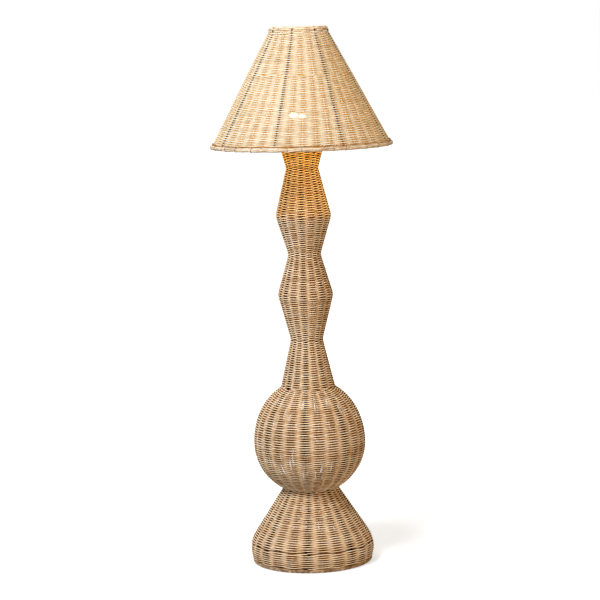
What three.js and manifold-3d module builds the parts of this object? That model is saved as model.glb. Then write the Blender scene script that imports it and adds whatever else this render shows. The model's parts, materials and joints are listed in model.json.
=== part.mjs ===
// Rattan floor lamp: a woven foot, globe and column on a welded wire frame and a steel pole, with a
// cone shade that hangs on a harp. Millimetres, +Z up, origin on the floor under the pole, front at -Y.
import * as THREE from "three";
import { mergeVertices } from "three/addons/utils/BufferGeometryUtils.js";
import Module from "manifold-3d";

const wasm = await Module();
wasm.setup();

// Driving sizes of the shade and, from the mouth down, of the woven body
const shadeHeight = 331;
const shadeTopRadius = 75;
const shadeRimRadius = 252;
const shadeRecess = 41.9;
const collarHeight = 57;
const unitHeight = 239;
const waistRadius = 45.5;
const swellRadius = 78.4;
const flareHeight = 133;
const globeTopRadius = 76.5;
const globeHeight = 288;
const globeMiddleRise = 132;
const globeRadius = 157.3;
const neckHeight = 210;
const neckRadius = 78;
const shoulderHeight = 62;
const footRadius = 173.6;
const footWidestHeight = 38;
const footDrawIn = 6.6;

// Fits shared by all pieces
const gap = 0.3;
const overrun = 2;
const mergeGap = 0.001;

// Woven skins and the frame behind them
const weaveThickness = 3;
const wireRadius = 2.5;
const cornerReach = 9;
const mouthFlareRadius = 59.5;
const hubRadius = 13;
const hubThickness = 3;
const topHubDrop = 30;

// Rolled borders
const footRollRadius = 5.5;
const footRollClearance = 1;
const mouthRollRadius = 3.6;
const shadeRollRadius = 5.5;
const shadeRollSeat = 0.5;
const topBandHeight = 22;
const topRollRadius = 7;

// Felt pad, weight and pole
const padThickness = 3;
const padClearance = 17;
const weightClearance = 22;
const weightThickness = 14;
const weightChamfer = 3;
const recessDepth = 8;
const recessRadius = 14;
const washerRadius = 11.5;
const washerThickness = 1.6;
const nutRadius = 9;
const nutHeight = 4.5;
const nippleRadius = 5;
const nippleBore = 3.5;
const nippleReach = 25;
const poleRadius = 8;
const poleJointHeight = 600;

// Cord inlet in the back of the foot
const inletHeight = 30;
const inletBore = 3.6;
const inletRadius = 6.2;
const inletFlangeRadius = 9;
const inletFlangeThickness = 2;
const inletDepth = 9;

// Harp, saddle and shade fitter
const saddleHalf = 31.75;
const saddleWidth = 12;
const saddleThickness = 2;
const saddleArmWidth = 7;
const saddleArmHeight = 12;
const saddlePinHeight = 9;
const harpWireRadius = 1.7;
const harpHeight = 305;
const harpHalf = 57;
const harpStraight = 27;
const harpPadRadius = 7;
const harpPadThickness = 4.4;
const ferruleRadius = 3.6;
const ferruleLength = 16;
const studShankRadius = 2.2;
const studHeadRadius = 4;
const studHeadHeight = 1.4;
const studDiscRadius = 7.5;
const studDiscThickness = 2;
const studThreadRadius = 3;
const studThreadHeight = 15;
const spiderWasherRadius = 12;
const spiderWasherThickness = 2;
const spiderWireRadius = 1.8;
const finialFlangeRadius = 7;
const finialFlangeThickness = 2;
const finialHeight = 20;
const finialKnobRadius = 7.5;
const finialWaistRadius = 5.2;

// Lamp socket and switch
const socketHeight = 57;
const shellRadius = 16.5;
const shellWall = 0.8;
const capHeight = 18;
const capWall = 1.2;
const capFloorRadius = 9;
const capSlopeHeight = 10;
const capNippleReach = 8;
const moldingBottom = 12.5;
const moldingTop = 29;
const linerWall = 1;
const screwShellWall = 0.7;
const contactRadius = 4;
const contactThickness = 2.2;
const keyHeight = 24;
const keyShaftRadius = 1.6;
const keyShaftLength = 30;
const keyKnobRadius = 5;
const keyKnobLength = 12;
const keySeatDepth = 3;

// Bulb
const bulbRadius = 30;
const bulbCapRadius = 13;
const bulbCapHeight = 27;
const bulbTipRadius = 4.2;
const bulbTipHeight = 2;
const bulbCapChamfer = 5;
const bulbNeckRadius = 12.6;
const bulbGlassHeight = 82;
const glassWall = 1;

// Counts, angles and shares
const bodyFacets = 24;
const shadeFacets = 40;
const smallFacets = 16;
const wireSides = 5;
const spiderSides = 6;
const ferruleSides = 12;
const knobSides = 10;
const harpSides = 6;
const rollSides = 8;
const nutSides = 6;
const ribCount = 8;
const spokeCount = 4;
const spiderArmCount = 3;
const waistCount = 3;
const bodyTurn = THREE.MathUtils.degToRad(-5);
const shadeTurn = THREE.MathUtils.degToRad(-18);
const swellShares = [0.527, 0.448];
const shoulderShare = 0.85;
const globeSteps = 5;
const shoulderSteps = 4;
const harpHeightShares = [0.09, 0.2, 0.42, 0.68, 0.88, 0.97, 0.997, 1];
const harpWidthShares = [0.56, 0.8, 1, 0.84, 0.52, 0.27, 0.14, 0];
const harpSteps = 22;
const neckHeightShares = [0, 0.1, 0.24, 0.36];
const neckSwellShares = [0, 0.05, 0.27, 0.56];
const bulbArcSteps = 6;
const knobArcSteps = 4;
const topRollSteps = 4;

// Radii that follow from the foot
const footRimRadius = footRadius - footDrawIn;
const padRadius = footRimRadius - padClearance;
const weightRadius = footRimRadius - weightClearance;

// Heights that follow from the stack of the woven body's lengths
const globeMiddleHeight = neckHeight + globeMiddleRise;
const globeTopHeight = neckHeight + globeHeight;
const lowWaistHeight = globeTopHeight + flareHeight;
const topWaistHeight = lowWaistHeight + (waistCount - 1) * unitHeight;
const mouthHeight = topWaistHeight + collarHeight;

// Heights that follow from the stack of pieces on the pole
const weightBottom = padThickness + gap;
const weightTop = weightBottom + weightThickness;
const lowHubBottom = weightTop + gap;
const lowHubTop = lowHubBottom + hubThickness;
const poleBottom = lowHubTop + gap;
const lowWasherTop = weightBottom + recessDepth - gap;
const lowNutTop = lowWasherTop - washerThickness - gap;
const topHubBottom = mouthHeight - topHubDrop;
const topHubTop = topHubBottom + hubThickness;
const poleTop = topHubBottom - gap;
const saddleBottom = topHubTop + gap + nutHeight + gap;
const saddleTop = saddleBottom + saddleThickness;
const socketBottom = saddleTop + gap;
const socketTop = socketBottom + socketHeight;
const nippleHole = nippleRadius + gap;
const pinBottom = saddleTop + saddleArmHeight;
const harpBottom = pinBottom + saddlePinHeight + gap;
const harpTop = saddleBottom + harpHeight;
const studDiscBottom = harpTop + harpPadThickness + gap;
const spiderBottom = studDiscBottom + studDiscThickness + gap;
const spiderTop = spiderBottom + spiderWasherThickness;
const finialBottom = spiderTop + gap;
const lampHeight = spiderTop + shadeRecess;
const shadeRimHeight = lampHeight - shadeHeight;
const footRollHeight = footRollClearance + footRollRadius;
const footWeaveBottom = footRollClearance + 2 * footRollRadius + gap;
const floorRingHeight = lowHubBottom - gap - wireRadius;

const lamp = new THREE.Group();

const finishes = {
  rattan: new THREE.MeshStandardMaterial({ color: 0xb98f5e, roughness: 0.72, metalness: 0 }),
  cane: new THREE.MeshStandardMaterial({ color: 0xa97f50, roughness: 0.66, metalness: 0 }),
  shadeRattan: new THREE.MeshStandardMaterial({ color: 0xd9b981, roughness: 0.7, metalness: 0 }),
  darkWire: new THREE.MeshStandardMaterial({ color: 0x2e2620, roughness: 0.55, metalness: 0.6 }),
  steel: new THREE.MeshStandardMaterial({ color: 0xa8a9ab, roughness: 0.35, metalness: 1 }),
  iron: new THREE.MeshStandardMaterial({ color: 0x33312f, roughness: 0.7, metalness: 0.7 }),
  brass: new THREE.MeshStandardMaterial({ color: 0xb08d4a, roughness: 0.3, metalness: 1 }),
  felt: new THREE.MeshStandardMaterial({ color: 0x2f2a26, roughness: 0.95, metalness: 0 }),
  plastic: new THREE.MeshStandardMaterial({ color: 0x1f1d1b, roughness: 0.5, metalness: 0 }),
  card: new THREE.MeshStandardMaterial({ color: 0xc9b48f, roughness: 0.85, metalness: 0 }),
  glass: new THREE.MeshStandardMaterial({ color: 0xfff3dc, roughness: 0.4, metalness: 0 }),
};

// Adds one named piece to the lamp.
function addPiece(name, geometry, finish) {
  const mesh = new THREE.Mesh(geometry, finish);
  mesh.name = name;
  lamp.add(mesh);
}

// A point of a turned outline: its distance from the axis and its height.
function at(radius, height) {
  return new THREE.Vector2(radius, height);
}

// Turns an outline of radius and height round the Z axis. The outline closes on itself or on the axis.
function turned(outline, facets, turn = 0) {
  const points = THREE.ShapeUtils.area(outline) < 0 ? [...outline].reverse() : [...outline];
  const onAxis = points[0].x === 0 && points[points.length - 1].x === 0;
  if (!onAxis) points.push(points[0].clone());
  return new THREE.LatheGeometry(points, facets, turn).rotateX(Math.PI / 2);
}

// How far a many-sided outline's flats lie from its centre, when its corners lie at the radius.
function flatRadius(radius, sides) {
  return radius * Math.cos(Math.PI / sides);
}

// A tube with square ends, from one height to another.
function tube(outer, inner, bottom, top, facets = smallFacets) {
  return turned([at(inner, bottom), at(outer, bottom), at(outer, top), at(inner, top)], facets);
}

// A ring of round section, centred on the given radius and height.
function roll(radius, height, section, sides, facets, turn) {
  const ring = new THREE.TorusGeometry(radius, section, sides, facets);
  return ring.rotateZ(turn - Math.PI / 2).translate(0, 0, height);
}

// A straight round rod between two points.
function rod(start, end, radius, sides) {
  const along = new THREE.Vector3().subVectors(end, start);
  const geometry = new THREE.CylinderGeometry(radius, radius, along.length(), sides);
  const up = new THREE.Vector3(0, 1, 0);
  const turn = new THREE.Quaternion().setFromUnitVectors(up, along.clone().normalize());
  const middle = new THREE.Vector3().addVectors(start, end).multiplyScalar(0.5);
  return geometry.applyQuaternion(turn).translate(middle.x, middle.y, middle.z);
}

// A path of straight runs that keeps every one of its stations.
class Stations extends THREE.Curve {
  constructor(stations) {
    super();
    this.stations = stations;
  }

  getPoint(share, target = new THREE.Vector3()) {
    const place = share * (this.stations.length - 1);
    const index = Math.min(Math.floor(place), this.stations.length - 2);
    return target.lerpVectors(this.stations[index], this.stations[index + 1], place - index);
  }

  getSpacedPoints(steps) {
    return this.getPoints(steps);
  }

  getTangentAt(share, target) {
    return this.getTangent(share, target);
  }
}

// A round wire that is bent through the given stations.
function bentWire(stations, radius, sides) {
  const section = new THREE.Shape(
    Array.from({ length: sides }, (_, side) => {
      const angle = (side / sides) * 2 * Math.PI;
      return at(radius * Math.cos(angle), radius * Math.sin(angle));
    }),
  );
  const steps = stations.length - 1;
  return new THREE.ExtrudeGeometry(section, { steps, extrudePath: new Stations(stations) });
}

// The place that lies at a radius and height, at an angle from the front.
function around(angle, radius, height) {
  return new THREE.Vector3(radius * Math.sin(angle), -radius * Math.cos(angle), height);
}

function solidOf(geometry) {
  const bare = new THREE.BufferGeometry();
  bare.setAttribute("position", geometry.getAttribute("position"));
  bare.setIndex(geometry.getIndex());
  const merged = mergeVertices(bare, mergeGap);
  return new wasm.Manifold(
    new wasm.Mesh({
      numProp: 3,
      vertProperties: new Float32Array(merged.getAttribute("position").array),
      triVerts: new Uint32Array(merged.getIndex().array),
    }),
  );
}

function geometryOf(solid) {
  const mesh = solid.getMesh();
  const geometry = new THREE.BufferGeometry();
  geometry.setAttribute("position", new THREE.BufferAttribute(mesh.vertProperties, 3));
  geometry.setIndex(new THREE.BufferAttribute(mesh.triVerts, 1));
  geometry.computeVertexNormals();
  return geometry;
}

// Joins several closed geometries into one.
function joined(geometries) {
  return geometryOf(geometries.map(solidOf).reduce((whole, next) => whole.add(next)));
}

function cut(geometry, tool) {
  return geometryOf(solidOf(geometry).subtract(solidOf(tool)));
}

// Rounds an inner corner of an outline with a short curve that leaves it at the given reach.
function rounded(before, corner, after, reach) {
  const start = corner.clone().lerp(before, reach / corner.distanceTo(before));
  const end = corner.clone().lerp(after, reach / corner.distanceTo(after));
  return new THREE.QuadraticBezierCurve(start, corner, end).getPoints(2);
}

// A six-sided nut with a round bore for the threaded tube.
function hexNut(bottom) {
  const top = bottom + nutHeight;
  const blank = turned([at(0, bottom), at(nutRadius, bottom), at(nutRadius, top), at(0, top)], nutSides);
  return cut(blank, tube(nippleHole, 0, bottom - overrun, top + overrun));
}

// The outer outline of the foot, from its rolled rim to the neck under the globe.
function footOutline() {
  const neck = at(neckRadius, neckHeight - gap / 2);
  const widest = at(footRadius, footWidestHeight);
  const shoulder = at(footRadius, shoulderHeight);
  const flareEnd = neck.clone().lerp(shoulder, shoulderShare);
  const curve = new THREE.QuadraticBezierCurve(widest, shoulder, flareEnd);
  const rimShare = footWeaveBottom / footWidestHeight;
  const rim = at(THREE.MathUtils.lerp(footRimRadius, footRadius, rimShare), footWeaveBottom);
  return [rim, ...curve.getPoints(shoulderSteps), neck];
}

// The outer outline of the globe: half an ellipse below its middle and half of another above it.
function globeOutline() {
  const bottom = neckHeight + gap / 2;
  const top = globeTopHeight - gap / 2;
  const lowAngle = -Math.acos(neckRadius / globeRadius);
  const highAngle = Math.acos(globeTopRadius / globeRadius);
  const lowReach = (bottom - globeMiddleHeight) / Math.sin(lowAngle);
  const highReach = (top - globeMiddleHeight) / Math.sin(highAngle);
  const outline = [];
  for (let step = -globeSteps; step <= globeSteps; step++) {
    const end = step < 0 ? lowAngle : highAngle;
    const reach = step < 0 ? lowReach : highReach;
    const angle = (Math.abs(step) / globeSteps) * end;
    outline.push(at(globeRadius * Math.cos(angle), globeMiddleHeight + reach * Math.sin(angle)));
  }
  return outline;
}

// The heights of the column's waists, from the lowest up.
function waistHeights() {
  return Array.from({ length: waistCount }, (_, index) => lowWaistHeight + index * unitHeight);
}

// The heights of the column's swells, each between two waists.
function swellHeights() {
  return swellShares.map((share, index) => lowWaistHeight + (index + share) * unitHeight);
}

// The outer outline of the column: straight flares between its waists and swells.
function columnOutline() {
  const swells = swellHeights();
  const corners = [at(globeTopRadius, globeTopHeight + gap / 2)];
  waistHeights().forEach((height, index) => {
    corners.push(at(waistRadius, height));
    if (index < swells.length) corners.push(at(swellRadius, swells[index]));
  });
  const outline = [corners[0]];
  for (let index = 1; index < corners.length - 1; index++) {
    outline.push(...rounded(corners[index - 1], corners[index], corners[index + 1], cornerReach));
  }
  outline.push(corners[corners.length - 1]);
  return outline;
}

// The outer outline of the collar, which flares from the highest waist to the open mouth.
function collarOutline() {
  const flareTop = mouthHeight - mouthRollRadius - gap;
  return [at(waistRadius, topWaistHeight + gap), at(mouthFlareRadius, flareTop)];
}

// Moves an outline towards the axis by a distance measured square to it.
function inset(outline, distance) {
  return outline.map((point, index) => {
    const before = outline[Math.max(index - 1, 0)];
    const after = outline[Math.min(index + 1, outline.length - 1)];
    const lower = point.clone().sub(before).normalize();
    const upper = after.clone().sub(point).normalize();
    if (index === 0) lower.copy(upper);
    if (index === outline.length - 1) upper.copy(lower);
    const along = lower.clone().add(upper).normalize();
    const reach = distance / along.dot(lower);
    return at(point.x - along.y * reach, point.y + along.x * reach);
  });
}

// An inset outline whose ends lie at the heights of the outline's own ends.
function levelInset(outline, distance) {
  const inner = inset(outline, distance);
  const last = outline.length - 1;
  for (const [end, next] of [[0, 1], [last, last - 1]]) {
    const height = outline[end].y;
    const near = inner[end];
    const far = inner[next];
    near.set(THREE.MathUtils.mapLinear(height, near.y, far.y, near.x, far.x), height);
  }
  return inner;
}

// The radius of an outline at a height.
function radiusAt(outline, height) {
  const index = outline.findIndex((point, place) => place > 0 && point.y >= height);
  const low = outline[index - 1];
  const high = outline[index];
  return THREE.MathUtils.mapLinear(height, low.y, high.y, low.x, high.x);
}

// A wall turned from its outer and inner outline.
function wall(outline, inner, facets, turn) {
  return turned([...outline, ...inner.reverse()], facets, turn);
}

// The centre line of the body's ribs, just behind the woven wall.
function ribOutline() {
  const upper = [...columnOutline().slice(1), ...collarOutline().slice(1)];
  const whole = [...footOutline(), ...globeOutline().slice(1), ...upper];
  return levelInset(whole, weaveThickness + gap + wireRadius);
}

// The eight bent ribs that run from the foot's rim to the mouth of the column.
function bodyRibs() {
  const outline = ribOutline();
  for (let index = 0; index < ribCount; index++) {
    const angle = bodyTurn + (index / ribCount) * 2 * Math.PI;
    const stations = outline.map((point) => around(angle, point.x, point.y));
    addPiece(`body_rib_${index + 1}`, bentWire(stations, wireRadius, wireSides), finishes.darkWire);
  }
}

// The rings that lie against the inside of the ribs.
function bodyRings() {
  const outline = inset(ribOutline(), 2 * wireRadius + gap);
  const clearOfWall = wireRadius + weaveThickness;
  const rings = [
    ["foot_ring", floorRingHeight],
    ["shoulder_ring", shoulderHeight],
    ["neck_ring", neckHeight - clearOfWall],
    ["globe_top_ring", globeTopHeight + clearOfWall],
    ["mouth_ring", mouthHeight - 2 * mouthRollRadius - clearOfWall],
  ];
  waistHeights().forEach((height, index) => rings.push([`waist_ring_${index + 1}`, height]));
  swellHeights().forEach((height, index) => rings.push([`swell_ring_${index + 1}`, height]));
  for (const [name, height] of rings) {
    const radius = radiusAt(outline, height);
    addPiece(name, roll(radius, height, wireRadius, wireSides, bodyFacets, bodyTurn), finishes.darkWire);
  }
}

// The two hubs on spokes that hold the pole in the middle of the ribs.
function spiders() {
  const outline = inset(ribOutline(), wireRadius + gap);
  for (const [name, bottom] of [["low_spider", lowHubBottom], ["top_spider", topHubBottom]]) {
    const spokeHeight = bottom + wireRadius;
    const reach = Math.min(radiusAt(outline, bottom), radiusAt(outline, spokeHeight + wireRadius));
    const parts = [tube(hubRadius, nippleHole, bottom, bottom + hubThickness)];
    for (let index = 0; index < spokeCount; index++) {
      const angle = bodyTurn + (index / spokeCount) * 2 * Math.PI;
      const start = around(angle, hubRadius - wireRadius, spokeHeight);
      const end = around(angle, reach, spokeHeight);
      parts.push(rod(start, end, wireRadius, wireSides));
    }
    addPiece(name, joined(parts), finishes.darkWire);
  }
}

function footWeave() {
  const holeRadius = inletRadius + gap;
  const inletTool = new THREE.CylinderGeometry(holeRadius, holeRadius, 2 * inletDepth, smallFacets);
  inletTool.translate(0, inletSeat(), inletHeight);
  const outline = footOutline();
  const skirt = wall(outline, inset(outline, weaveThickness), bodyFacets, bodyTurn);
  addPiece("foot_weave", cut(skirt, inletTool), finishes.rattan);
  const rollCentre = outline[0].x - weaveThickness - wireRadius;
  const border = roll(rollCentre, footRollHeight, footRollRadius, rollSides, bodyFacets, bodyTurn);
  addPiece("foot_border", border, finishes.cane);
}

function globeWeave() {
  const outline = globeOutline();
  const inner = inset(outline, weaveThickness);
  addPiece("globe_weave", wall(outline, inner, bodyFacets, bodyTurn), finishes.rattan);
}

function columnWeave() {
  const outline = columnOutline();
  const inner = levelInset(outline, weaveThickness);
  addPiece("column_weave", wall(outline, inner, bodyFacets, bodyTurn), finishes.rattan);
}

// The flared collar round the lamp socket, with a rolled border at its mouth.
function collarWeave() {
  const outline = collarOutline();
  const inner = levelInset(outline, weaveThickness);
  addPiece("collar_weave", wall(outline, inner, bodyFacets, bodyTurn), finishes.rattan);
  const rollCentre = mouthFlareRadius - weaveThickness / 2;
  const border = roll(rollCentre, mouthHeight, mouthRollRadius, rollSides, bodyFacets, bodyTurn);
  addPiece("column_border", border, finishes.cane);
}

// How far behind the axis the bush's flange meets the foot's wall.
function inletSeat() {
  return radiusAt(footOutline(), inletHeight + inletFlangeRadius) + gap;
}

// The flanged bush low in the back of the foot, with a bore for a round lead.
function cordInlet() {
  const flange = tube(inletFlangeRadius, inletBore, 0, inletFlangeThickness);
  const sleeve = tube(inletRadius, inletBore, -inletDepth, inletFlangeThickness / 2);
  const bush = joined([flange, sleeve]).rotateX(-Math.PI / 2);
  addPiece("cord_inlet", bush.translate(0, inletSeat(), inletHeight), finishes.plastic);
}

function base() {
  const pad = [at(0, 0), at(padRadius, 0), at(padRadius, padThickness), at(0, padThickness)];
  addPiece("felt_pad", turned(pad, shadeFacets), finishes.felt);
  const weight = [
    at(recessRadius, weightBottom),
    at(weightRadius, weightBottom),
    at(weightRadius, weightTop - weightChamfer),
    at(weightRadius - weightChamfer, weightTop),
    at(nippleHole, weightTop),
    at(nippleHole, weightBottom + recessDepth),
    at(recessRadius, weightBottom + recessDepth),
  ];
  addPiece("base_weight", turned(weight, shadeFacets), finishes.iron);
  const washer = tube(washerRadius, nippleHole, lowWasherTop - washerThickness, lowWasherTop);
  addPiece("base_washer", washer, finishes.steel);
  addPiece("base_nut", hexNut(lowNutTop - nutHeight), finishes.steel);
  const nipple = tube(nippleRadius, nippleBore, lowNutTop - nutHeight, poleBottom + nippleReach);
  addPiece("base_nipple", nipple, finishes.steel);
}

function pole() {
  const lower = tube(poleRadius, nippleHole, poleBottom, poleJointHeight - gap / 2);
  addPiece("pole_lower", lower, finishes.steel);
  const upper = tube(poleRadius, nippleHole, poleJointHeight + gap / 2, poleTop);
  addPiece("pole_upper", upper, finishes.steel);
  const jointBottom = poleJointHeight - nippleReach;
  const joint = tube(nippleRadius, nippleBore, jointBottom, poleJointHeight + nippleReach);
  addPiece("pole_joint", joint, finishes.steel);
  const nippleTop = socketBottom + capNippleReach;
  const topNipple = tube(nippleRadius, nippleBore, poleTop - nippleReach, nippleTop);
  addPiece("top_nipple", topNipple, finishes.steel);
  addPiece("top_nut", hexNut(topHubTop + gap), finishes.brass);
}

// The strip that carries the harp: a flat bar with two upright arms that end in pins.
function harpSaddle() {
  const bar = new THREE.BoxGeometry(2 * saddleHalf + saddleThickness, saddleWidth, saddleThickness);
  bar.translate(0, 0, saddleBottom + saddleThickness / 2);
  const parts = [bar];
  for (const side of [-1, 1]) {
    const arm = new THREE.BoxGeometry(saddleThickness, saddleArmWidth, saddleArmHeight + saddleThickness);
    parts.push(arm.translate(side * saddleHalf, 0, (saddleBottom + pinBottom) / 2));
    const pinStart = new THREE.Vector3(side * saddleHalf, 0, pinBottom - saddleThickness);
    const pinEnd = new THREE.Vector3(side * saddleHalf, 0, pinBottom + saddlePinHeight);
    parts.push(rod(pinStart, pinEnd, harpWireRadius, rollSides));
  }
  const hole = tube(nippleHole, 0, saddleBottom - overrun, saddleTop + overrun);
  addPiece("harp_saddle", cut(joined(parts), hole), finishes.brass);
}

// The sprung wire bow that carries the shade, with a flat pad and a hole at its top.
function harp() {
  const wireTop = harpTop + harpPadThickness - harpWireRadius;
  const bow = harpHeightShares.map((share, index) => {
    const height = THREE.MathUtils.lerp(harpBottom, wireTop, share);
    return new THREE.Vector3(harpHalf * harpWidthShares[index], 0, height);
  });
  bow[0].set(saddleHalf, 0, harpBottom + harpStraight);
  const otherSide = bow.slice(0, -1).map((point) => new THREE.Vector3(-point.x, 0, point.z));
  const curve = new THREE.CatmullRomCurve3([...bow, ...otherSide.reverse()]);
  const stations = [
    new THREE.Vector3(saddleHalf, 0, harpBottom),
    ...curve.getPoints(harpSteps),
    new THREE.Vector3(-saddleHalf, 0, harpBottom),
  ];
  const wire = bentWire(stations, harpWireRadius, harpSides);
  const pad = tube(harpPadRadius, 0, harpTop, harpTop + harpPadThickness);
  const holeTop = harpTop + harpPadThickness + overrun;
  const hole = tube(studShankRadius + gap, 0, harpTop - overrun, holeTop);
  addPiece("harp", cut(joined([wire, pad]), hole), finishes.brass);
  for (const [name, side] of [["ferrule_left", -1], ["ferrule_right", 1]]) {
    const bottom = pinBottom + gap;
    const sleeve = tube(ferruleRadius, harpWireRadius + gap, bottom, bottom + ferruleLength, ferruleSides);
    addPiece(name, sleeve.translate(side * saddleHalf, 0, 0), finishes.brass);
  }
}

// The swivel stud that is riveted in the harp's pad and takes the finial's thread.
function harpStud() {
  const headTop = harpTop - gap;
  const discTop = studDiscBottom + studDiscThickness;
  const outline = [
    at(0, headTop - studHeadHeight),
    at(studHeadRadius, headTop - studHeadHeight),
    at(studHeadRadius, headTop),
    at(studShankRadius, headTop),
    at(studShankRadius, studDiscBottom),
    at(studDiscRadius, studDiscBottom),
    at(studDiscRadius, discTop),
    at(studThreadRadius, discTop),
    at(studThreadRadius, discTop + studThreadHeight),
    at(0, discTop + studThreadHeight),
  ];
  addPiece("harp_stud", turned(outline, smallFacets), finishes.brass);
}

function finial() {
  const boreTop = studDiscBottom + studDiscThickness + studThreadHeight + gap;
  const top = finialBottom + finialHeight;
  const knobMiddle = top - finialKnobRadius;
  const flangeTop = finialBottom + finialFlangeThickness;
  const outline = [
    at(0, boreTop),
    at(studThreadRadius + gap, boreTop),
    at(studThreadRadius + gap, finialBottom),
    at(finialFlangeRadius, finialBottom),
    at(finialFlangeRadius, flangeTop),
    at(finialWaistRadius, (flangeTop + knobMiddle) / 2),
  ];
  for (let step = 0; step < knobArcSteps; step++) {
    const angle = (step / knobArcSteps) * (Math.PI / 2);
    const radius = finialKnobRadius * Math.cos(angle);
    outline.push(at(radius, knobMiddle + finialKnobRadius * Math.sin(angle)));
  }
  outline.push(at(0, top));
  addPiece("finial", turned(outline, smallFacets), finishes.brass);
}

function socket() {
  const rimRadius = shellRadius + gap + capWall;
  const slopeTop = socketBottom + capSlopeHeight;
  const cap = [
    at(nippleHole, socketBottom),
    at(capFloorRadius, socketBottom),
    at(rimRadius, slopeTop),
    at(rimRadius, socketBottom + capHeight),
    at(shellRadius + gap, socketBottom + capHeight),
    at(shellRadius + gap, slopeTop + capWall / 2),
    at(capFloorRadius - capWall / 2, socketBottom + capWall),
    at(nippleHole, socketBottom + capWall),
  ];
  addPiece("socket_cap", turned(cap, smallFacets), finishes.brass);
  const shellBottom = socketBottom + capSlopeHeight + capWall;
  const keyPlace = new THREE.Vector3(0, 0, socketBottom + keyHeight);
  const keyHoleEnd = keyPlace.clone().setY(-shellRadius - overrun);
  const keyHole = rod(keyPlace, keyHoleEnd, keyShaftRadius + gap, rollSides);
  const shell = tube(shellRadius, shellRadius - shellWall, shellBottom, socketTop);
  addPiece("socket_shell", cut(shell, keyHole), finishes.brass);
  const moldingRadius = shellRadius - shellWall - gap;
  const moldingOutline = [
    at(0, socketBottom + moldingBottom),
    at(moldingRadius, socketBottom + moldingBottom),
    at(moldingRadius, socketBottom + moldingTop),
    at(0, socketBottom + moldingTop),
  ];
  const seatStart = keyPlace.clone().setY(-moldingRadius + keySeatDepth);
  const seat = rod(seatStart, keyHoleEnd, keyShaftRadius + gap, rollSides);
  addPiece("socket_molding", cut(turned(moldingOutline, smallFacets), seat), finishes.plastic);
  const linerBottom = socketBottom + moldingTop + gap;
  const liner = tube(moldingRadius, moldingRadius - linerWall, linerBottom, socketTop + gap);
  addPiece("socket_liner", liner, finishes.card);
  const screwRadius = moldingRadius - linerWall - gap;
  const screwShell = tube(screwRadius, screwRadius - screwShellWall, linerBottom, socketTop - gap);
  addPiece("screw_shell", screwShell, finishes.brass);
  const contact = [
    at(0, linerBottom),
    at(contactRadius, linerBottom),
    at(contactRadius, linerBottom + contactThickness),
    at(0, linerBottom + contactThickness),
  ];
  addPiece("centre_contact", turned(contact, smallFacets), finishes.brass);
}

// The turn key of the switch, whose shaft runs into the socket's molding.
function switchKey() {
  const shaftStart = -shellRadius + shellWall + keySeatDepth;
  const shaft = tube(keyShaftRadius, 0, 0, keyShaftLength, rollSides);
  const knob = tube(keyKnobRadius, 0, keyShaftLength - keyKnobLength, keyShaftLength, knobSides);
  const key = joined([shaft, knob]).rotateX(Math.PI / 2);
  addPiece("switch_key", key.translate(0, shaftStart, socketBottom + keyHeight), finishes.plastic);
}

function bulb() {
  const tipBottom = socketBottom + moldingTop + gap + contactThickness + gap;
  const capTop = tipBottom + bulbCapHeight;
  const cap = [
    at(0, tipBottom),
    at(bulbTipRadius, tipBottom),
    at(bulbTipRadius, tipBottom + bulbTipHeight),
    at(bulbCapRadius, tipBottom + bulbTipHeight + bulbCapChamfer),
    at(bulbCapRadius, capTop),
    at(0, capTop),
  ];
  addPiece("bulb_cap", turned(cap, smallFacets), finishes.steel);
  const glassBottom = capTop + gap;
  const centre = glassBottom + bulbGlassHeight - bulbRadius;
  const outline = neckHeightShares.map((share, index) => {
    const radius = THREE.MathUtils.lerp(bulbNeckRadius, bulbRadius, neckSwellShares[index]);
    return at(radius, glassBottom + share * bulbGlassHeight);
  });
  const last = outline[outline.length - 1];
  const startAngle = Math.atan2(last.y - centre, last.x);
  for (let step = 1; step <= bulbArcSteps; step++) {
    const angle = THREE.MathUtils.lerp(startAngle, Math.PI / 2, step / bulbArcSteps);
    const radius = step === bulbArcSteps ? 0 : bulbRadius * Math.cos(angle);
    outline.push(at(radius, centre + bulbRadius * Math.sin(angle)));
  }
  const inner = inset(outline, glassWall);
  inner[0].y = glassBottom;
  inner[inner.length - 1].set(0, centre + bulbRadius - glassWall);
  addPiece("bulb_glass", turned([...inner.reverse(), ...outline], smallFacets), finishes.glass);
}

// The radius of the shade's outer cone at a height.
function coneRadius(height) {
  return THREE.MathUtils.mapLinear(height, shadeRimHeight, lampHeight, shadeRimRadius, shadeTopRadius);
}

// The shade's straight outline between two heights.
function coneOutline(bottom, top) {
  return [at(coneRadius(bottom), bottom), at(coneRadius(top), top)];
}

function shadeWeave() {
  const bottom = shadeRimHeight + 2 * shadeRollRadius + gap - shadeRollSeat;
  const top = lampHeight - topBandHeight - gap;
  const outline = coneOutline(bottom, top);
  const inner = levelInset(outline, weaveThickness);
  addPiece("shade_weave", wall(outline, inner, shadeFacets, shadeTurn), finishes.shadeRattan);
}

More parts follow.
